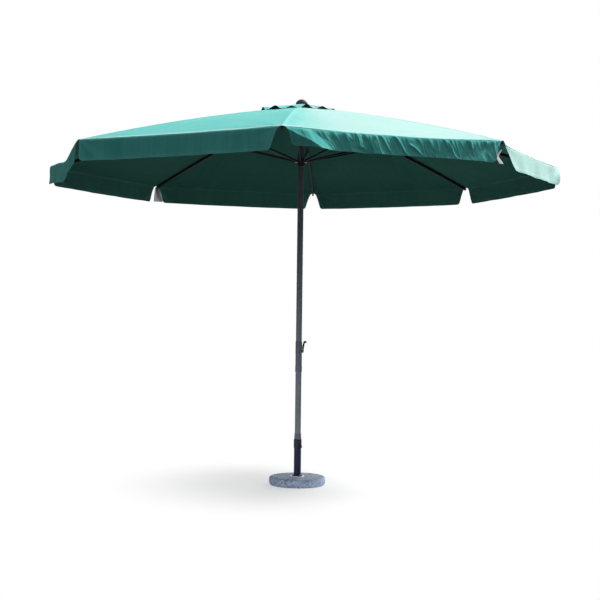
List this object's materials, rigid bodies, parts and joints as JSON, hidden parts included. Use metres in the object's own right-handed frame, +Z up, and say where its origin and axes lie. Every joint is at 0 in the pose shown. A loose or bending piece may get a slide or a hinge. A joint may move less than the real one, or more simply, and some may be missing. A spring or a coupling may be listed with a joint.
{
  "type": "patio umbrella with base",
  "caption": "Round centre-pole patio umbrella with a vented fabric canopy and hanging valance, folding rib frame, crank on the pole and a round stone base with a clamped tube.",
  "frame": {"origin": "on the ground, under the middle of the stone base, on the pole's axis", "axes": "+Z up along the pole, -Y to the front, +X to the crank's side"},
  "size_m": [4.0622, 4.0622, 3.077],
  "materials": {
    "granite": "honed grey granite",
    "zinc_steel": "zinc plated",
    "tube_paint": "powder coat, satin",
    "pole_paint": "powder coat, satin",
    "rib_paint": "powder coat, satin",
    "arm_paint": "powder coat, satin",
    "black_plastic": "moulded, matte",
    "grey_plastic": "moulded, matte",
    "housing_plastic": "moulded, matte",
    "canopy_fabric": "woven polyester, slight sheen"
  },
  "bodies": {
    "base": {"base_stone": "granite", "anchor_bolt": "zinc_steel", "anchor_washer": "zinc_steel", "base_plate": "zinc_steel", "base_tube": "tube_paint", "tube_collar": "black_plastic", "pole_bush": "grey_plastic"},
    "clamp": {"clamp_knob": "black_plastic", "clamp_screw": "zinc_steel"},
    "mast": {"pole_plug": "black_plastic", "lower_pole": "pole_paint", "joint_spigot": "zinc_steel", "joint_sleeve": "grey_plastic", "upper_pole": "pole_paint", "housing_front": "housing_plastic", "housing_rear": "housing_plastic", "top_hub": "black_plastic", "hub_pins": "zinc_steel", "pulley_pin": "zinc_steel", "finial": "black_plastic"},
    "crank": {"crank_axle": "zinc_steel", "winding_drum": "black_plastic", "crank_arm": "arm_paint"},
    "grip": {"crank_grip": "black_plastic"},
    "pulley": {"pulley": "black_plastic"},
    "runner": {"runner": "black_plastic", "runner_pins": "zinc_steel"},
    "rib_1": {"rib_1": "rib_paint"},
    "strut_1": {"strut_1": "rib_paint"},
    "canopy_1_left": {"canopy_1_left": "canopy_fabric"},
    "canopy_8_right": {"canopy_8_right": "canopy_fabric"},
    "rib_2": {"rib_2": "rib_paint"},
    "strut_2": {"strut_2": "rib_paint"},
    "canopy_2_left": {"canopy_2_left": "canopy_fabric"},
    "canopy_1_right": {"canopy_1_right": "canopy_fabric"},
    "rib_3": {"rib_3": "rib_paint"},
    "strut_3": {"strut_3": "rib_paint"},
    "canopy_3_left": {"canopy_3_left": "canopy_fabric"},
    "canopy_2_right": {"canopy_2_right": "canopy_fabric"},
    "rib_4": {"rib_4": "rib_paint"},
    "strut_4": {"strut_4": "rib_paint"},
    "canopy_4_left": {"canopy_4_left": "canopy_fabric"},
    "canopy_3_right": {"canopy_3_right": "canopy_fabric"},
    "rib_5": {"rib_5": "rib_paint"},
    "strut_5": {"strut_5": "rib_paint"},
    "canopy_5_left": {"canopy_5_left": "canopy_fabric"},
    "canopy_4_right": {"canopy_4_right": "canopy_fabric"},
    "rib_6": {"rib_6": "rib_paint"},
    "strut_6": {"strut_6": "rib_paint"},
    "canopy_6_left": {"canopy_6_left": "canopy_fabric"},
    "canopy_5_right": {"canopy_5_right": "canopy_fabric"},
    "rib_7": {"rib_7": "rib_paint"},
    "strut_7": {"strut_7": "rib_paint"},
    "canopy_7_left": {"canopy_7_left": "canopy_fabric"},
    "canopy_6_right": {"canopy_6_right": "canopy_fabric"},
    "rib_8": {"rib_8": "rib_paint"},
    "strut_8": {"strut_8": "rib_paint"},
    "canopy_8_left": {"canopy_8_left": "canopy_fabric"},
    "canopy_7_right": {"canopy_7_right": "canopy_fabric"}
  },
  "joints": [
    {"name": "mast_swivel", "type": "hinge", "parent": "base", "child": "mast", "pos_m": [0, 0, 0.36], "axis": [0, 0, 1], "continuous": true},
    {"name": "clamp_turn", "type": "hinge", "parent": "base", "child": "clamp", "pos_m": [0.02, -0.03464, 0.306], "axis": [0.5, -0.866, 0], "range_deg": [-720, 0]},
    {"name": "canopy_fold", "type": "hinge", "parent": "mast", "child": "rib_1", "pos_m": [0, -0.045, 2.992], "axis": [1, 0, 0], "range_deg": [0, 72.5], "deforming": ["canopy_1_left", "canopy_1_right", "canopy_2_left", "canopy_2_right", "canopy_3_left", "canopy_3_right", "canopy_4_left", "canopy_4_right", "canopy_5_left", "canopy_5_right", "canopy_6_left", "canopy_6_right", "canopy_7_left", "canopy_7_right", "canopy_8_left", "canopy_8_right"]},
    {"name": "strut_1_hinge", "type": "hinge", "parent": "rib_1", "child": "strut_1", "pos_m": [0, -0.90565, 2.78585], "axis": [1, 0, 0], "range_deg": [-145.02, 0]},
    {"name": "runner_pin", "type": "hinge", "parent": "strut_1", "child": "runner", "pos_m": [0, -0.045, 2.5797], "axis": [1, 0, 0], "range_deg": [0, 72.51]},
    {"name": "canopy_1_left_fold", "type": "hinge", "parent": "rib_1", "child": "canopy_1_left", "pos_m": [0, -0.04849, 3.00659], "axis": [0, -0.9725, -0.2329], "range_deg": [0, 68.07]},
    {"name": "canopy_8_right_fold", "type": "hinge", "parent": "rib_1", "child": "canopy_8_right", "pos_m": [0, -0.04849, 3.00659], "axis": [0, -0.9725, -0.2329], "range_deg": [-68.07, 0]},
    {"name": "rib_2_hinge", "type": "hinge", "parent": "mast", "child": "rib_2", "pos_m": [0.03182, -0.03182, 2.992], "axis": [0.7071, 0.7071, 0], "range_deg": [0, 72.51]},
    {"name": "strut_2_hinge", "type": "hinge", "parent": "rib_2", "child": "strut_2", "pos_m": [0.6404, -0.6404, 2.78585], "axis": [0.7071, 0.7071, 0], "range_deg": [-145.02, 0]},
    {"name": "canopy_2_left_fold", "type": "hinge", "parent": "rib_2", "child": "canopy_2_left", "pos_m": [0.03429, -0.03429, 3.00659], "axis": [0.6877, -0.6877, -0.2329], "range_deg": [0, 68.07]},
    {"name": "canopy_1_right_fold", "type": "hinge", "parent": "rib_2", "child": "canopy_1_right", "pos_m": [0.03429, -0.03429, 3.00659], "axis": [0.6877, -0.6877, -0.2329], "range_deg": [-68.07, 0]},
    {"name": "rib_3_hinge", "type": "hinge", "parent": "mast", "child": "rib_3", "pos_m": [0.045, 0, 2.992], "axis": [0, 1, 0], "range_deg": [0, 72.51]},
    {"name": "strut_3_hinge", "type": "hinge", "parent": "rib_3", "child": "strut_3", "pos_m": [0.90565, 0, 2.78585], "axis": [0, 1, 0], "range_deg": [-145.02, 0]},
    {"name": "canopy_3_left_fold", "type": "hinge", "parent": "rib_3", "child": "canopy_3_left", "pos_m": [0.04849, 0, 3.00659], "axis": [0.9725, 0, -0.2329], "range_deg": [0, 68.07]},
    {"name": "canopy_2_right_fold", "type": "hinge", "parent": "rib_3", "child": "canopy_2_right", "pos_m": [0.04849, 0, 3.00659], "axis": [0.9725, 0, -0.2329], "range_deg": [-68.07, 0]},
    {"name": "rib_4_hinge", "type": "hinge", "parent": "mast", "child": "rib_4", "pos_m": [0.03182, 0.03182, 2.992], "axis": [-0.7071, 0.7071, 0], "range_deg": [0, 72.51]},
    {"name": "strut_4_hinge", "type": "hinge", "parent": "rib_4", "child": "strut_4", "pos_m": [0.6404, 0.6404, 2.78585], "axis": [-0.7071, 0.7071, 0], "range_deg": [-145.02, 0]},
    {"name": "canopy_4_left_fold", "type": "hinge", "parent": "rib_4", "child": "canopy_4_left", "pos_m": [0.03429, 0.03429, 3.00659], "axis": [0.6877, 0.6877, -0.2329], "range_deg": [0, 68.07]},
    {"name": "canopy_3_right_fold", "type": "hinge", "parent": "rib_4", "child": "canopy_3_right", "pos_m": [0.03429, 0.03429, 3.00659], "axis": [0.6877, 0.6877, -0.2329], "range_deg": [-68.07, 0]},
    {"name": "rib_5_hinge", "type": "hinge", "parent": "mast", "child": "rib_5", "pos_m": [0, 0.045, 2.992], "axis": [-1, 0, 0], "range_deg": [0, 72.51]},
    {"name": "strut_5_hinge", "type": "hinge", "parent": "rib_5", "child": "strut_5", "pos_m": [0, 0.90565, 2.78585], "axis": [-1, 0, 0], "range_deg": [-145.02, 0]},
    {"name": "canopy_5_left_fold", "type": "hinge", "parent": "rib_5", "child": "canopy_5_left", "pos_m": [0, 0.04849, 3.00659], "axis": [0, 0.9725, -0.2329], "range_deg": [0, 68.07]},
    {"name": "canopy_4_right_fold", "type": "hinge", "parent": "rib_5", "child": "canopy_4_right", "pos_m": [0, 0.04849, 3.00659], "axis": [0, 0.9725, -0.2329], "range_deg": [-68.07, 0]},
    {"name": "rib_6_hinge", "type": "hinge", "parent": "mast", "child": "rib_6", "pos_m": [-0.03182, 0.03182, 2.992], "axis": [-0.7071, -0.7071, 0], "range_deg": [0, 72.51]},
    {"name": "strut_6_hinge", "type": "hinge", "parent": "rib_6", "child": "strut_6", "pos_m": [-0.6404, 0.6404, 2.78585], "axis": [-0.7071, -0.7071, 0], "range_deg": [-145.02, 0]},
    {"name": "canopy_6_left_fold", "type": "hinge", "parent": "rib_6", "child": "canopy_6_left", "pos_m": [-0.03429, 0.03429, 3.00659], "axis": [-0.6877, 0.6877, -0.2329], "range_deg": [0, 68.07]},
    {"name": "canopy_5_right_fold", "type": "hinge", "parent": "rib_6", "child": "canopy_5_right", "pos_m": [-0.03429, 0.03429, 3.00659], "axis": [-0.6877, 0.6877, -0.2329], "range_deg": [-68.07, 0]},
    {"name": "rib_7_hinge", "type": "hinge", "parent": "mast", "child": "rib_7", "pos_m": [-0.045, 0, 2.992], "axis": [0, -1, 0], "range_deg": [0, 72.51]},
    {"name": "strut_7_hinge", "type": "hinge", "parent": "rib_7", "child": "strut_7", "pos_m": [-0.90565, 0, 2.78585], "axis": [0, -1, 0], "range_deg": [-145.02, 0]},
    {"name": "canopy_7_left_fold", "type": "hinge", "parent": "rib_7", "child": "canopy_7_left", "pos_m": [-0.04849, 0, 3.00659], "axis": [-0.9725, 0, -0.2329], "range_deg": [0, 68.07]},
    {"name": "canopy_6_right_fold", "type": "hinge", "parent": "rib_7", "child": "canopy_6_right", "pos_m": [-0.04849, 0, 3.00659], "axis": [-0.9725, 0, -0.2329], "range_deg": [-68.07, 0]},
    {"name": "rib_8_hinge", "type": "hinge", "parent": "mast", "child": "rib_8", "pos_m": [-0.03182, -0.03182, 2.992], "axis": [0.7071, -0.7071, 0], "range_deg": [0, 72.51]},
    {"name": "strut_8_hinge", "type": "hinge", "parent": "rib_8", "child": "strut_8", "pos_m": [-0.6404, -0.6404, 2.78585], "axis": [0.7071, -0.7071, 0], "range_deg": [-145.02, 0]},
    {"name": "canopy_8_left_fold", "type": "hinge", "parent": "rib_8", "child": "canopy_8_left", "pos_m": [-0.03429, -0.03429, 3.00659], "axis": [-0.6877, -0.6877, -0.2329], "range_deg": [0, 68.07]},
    {"name": "canopy_7_right_fold", "type": "hinge", "parent": "rib_8", "child": "canopy_7_right", "pos_m": [-0.03429, -0.03429, 3.00659], "axis": [-0.6877, -0.6877, -0.2329], "range_deg": [-68.07, 0]},
    {"name": "crank_turn", "type": "hinge", "parent": "mast", "child": "crank", "pos_m": [0, 0, 1.063], "axis": [1, 0, 0], "range_deg": [0, 5003.5]},
    {"name": "grip_spin", "type": "hinge", "parent": "crank", "child": "grip", "pos_m": [0.05, 0, 1.135], "axis": [1, 0, 0], "continuous": true},
    {"name": "pulley_turn", "type": "hinge", "parent": "mast", "child": "pulley", "pos_m": [0.01033, -0.02494, 2.986], "axis": [0.9239, 0.3827, 0], "range_deg": [0, 5351.5]}
  ],
  "couplings": [
    {"joint": "strut_1_hinge", "follows": "canopy_fold", "ratio": -2},
    {"joint": "runner_pin", "follows": "canopy_fold", "ratio": 1},
    {"joint": "canopy_1_left_fold", "follows": "canopy_fold", "ratio": 0.93862},
    {"joint": "canopy_8_right_fold", "follows": "canopy_fold", "ratio": -0.93862},
    {"joint": "rib_2_hinge", "follows": "canopy_fold", "ratio": 1},
    {"joint": "strut_2_hinge", "follows": "canopy_fold", "ratio": -2},
    {"joint": "canopy_2_left_fold", "follows": "canopy_fold", "ratio": 0.93862},
    {"joint": "canopy_1_right_fold", "follows": "canopy_fold", "ratio": -0.93862},
    {"joint": "rib_3_hinge", "follows": "canopy_fold", "ratio": 1},
    {"joint": "strut_3_hinge", "follows": "canopy_fold", "ratio": -2},
    {"joint": "canopy_3_left_fold", "follows": "canopy_fold", "ratio": 0.93862},
    {"joint": "canopy_2_right_fold", "follows": "canopy_fold", "ratio": -0.93862},
    {"joint": "rib_4_hinge", "follows": "canopy_fold", "ratio": 1},
    {"joint": "strut_4_hinge", "follows": "canopy_fold", "ratio": -2},
    {"joint": "canopy_4_left_fold", "follows": "canopy_fold", "ratio": 0.93862},
    {"joint": "canopy_3_right_fold", "follows": "canopy_fold", "ratio": -0.93862},
    {"joint": "rib_5_hinge", "follows": "canopy_fold", "ratio": 1},
    {"joint": "strut_5_hinge", "follows": "canopy_fold", "ratio": -2},
    {"joint": "canopy_5_left_fold", "follows": "canopy_fold", "ratio": 0.93862},
    {"joint": "canopy_4_right_fold", "follows": "canopy_fold", "ratio": -0.93862},
    {"joint": "rib_6_hinge", "follows": "canopy_fold", "ratio": 1},
    {"joint": "strut_6_hinge", "follows": "canopy_fold", "ratio": -2},
    {"joint": "canopy_6_left_fold", "follows": "canopy_fold", "ratio": 0.93862},
    {"joint": "canopy_5_right_fold", "follows": "canopy_fold", "ratio": -0.93862},
    {"joint": "rib_7_hinge", "follows": "canopy_fold", "ratio": 1},
    {"joint": "strut_7_hinge", "follows": "canopy_fold", "ratio": -2},
    {"joint": "canopy_7_left_fold", "follows": "canopy_fold", "ratio": 0.93862},
    {"joint": "canopy_6_right_fold", "follows": "canopy_fold", "ratio": -0.93862},
    {"joint": "rib_8_hinge", "follows": "canopy_fold", "ratio": 1},
    {"joint": "strut_8_hinge", "follows": "canopy_fold", "ratio": -2},
    {"joint": "canopy_8_left_fold", "follows": "canopy_fold", "ratio": 0.93862},
    {"joint": "canopy_7_right_fold", "follows": "canopy_fold", "ratio": -0.93862},
    {"joint": "crank_turn", "follows": "canopy_fold", "ratio": 69},
    {"joint": "pulley_turn", "follows": "canopy_fold", "ratio": 73.8}
  ]
}
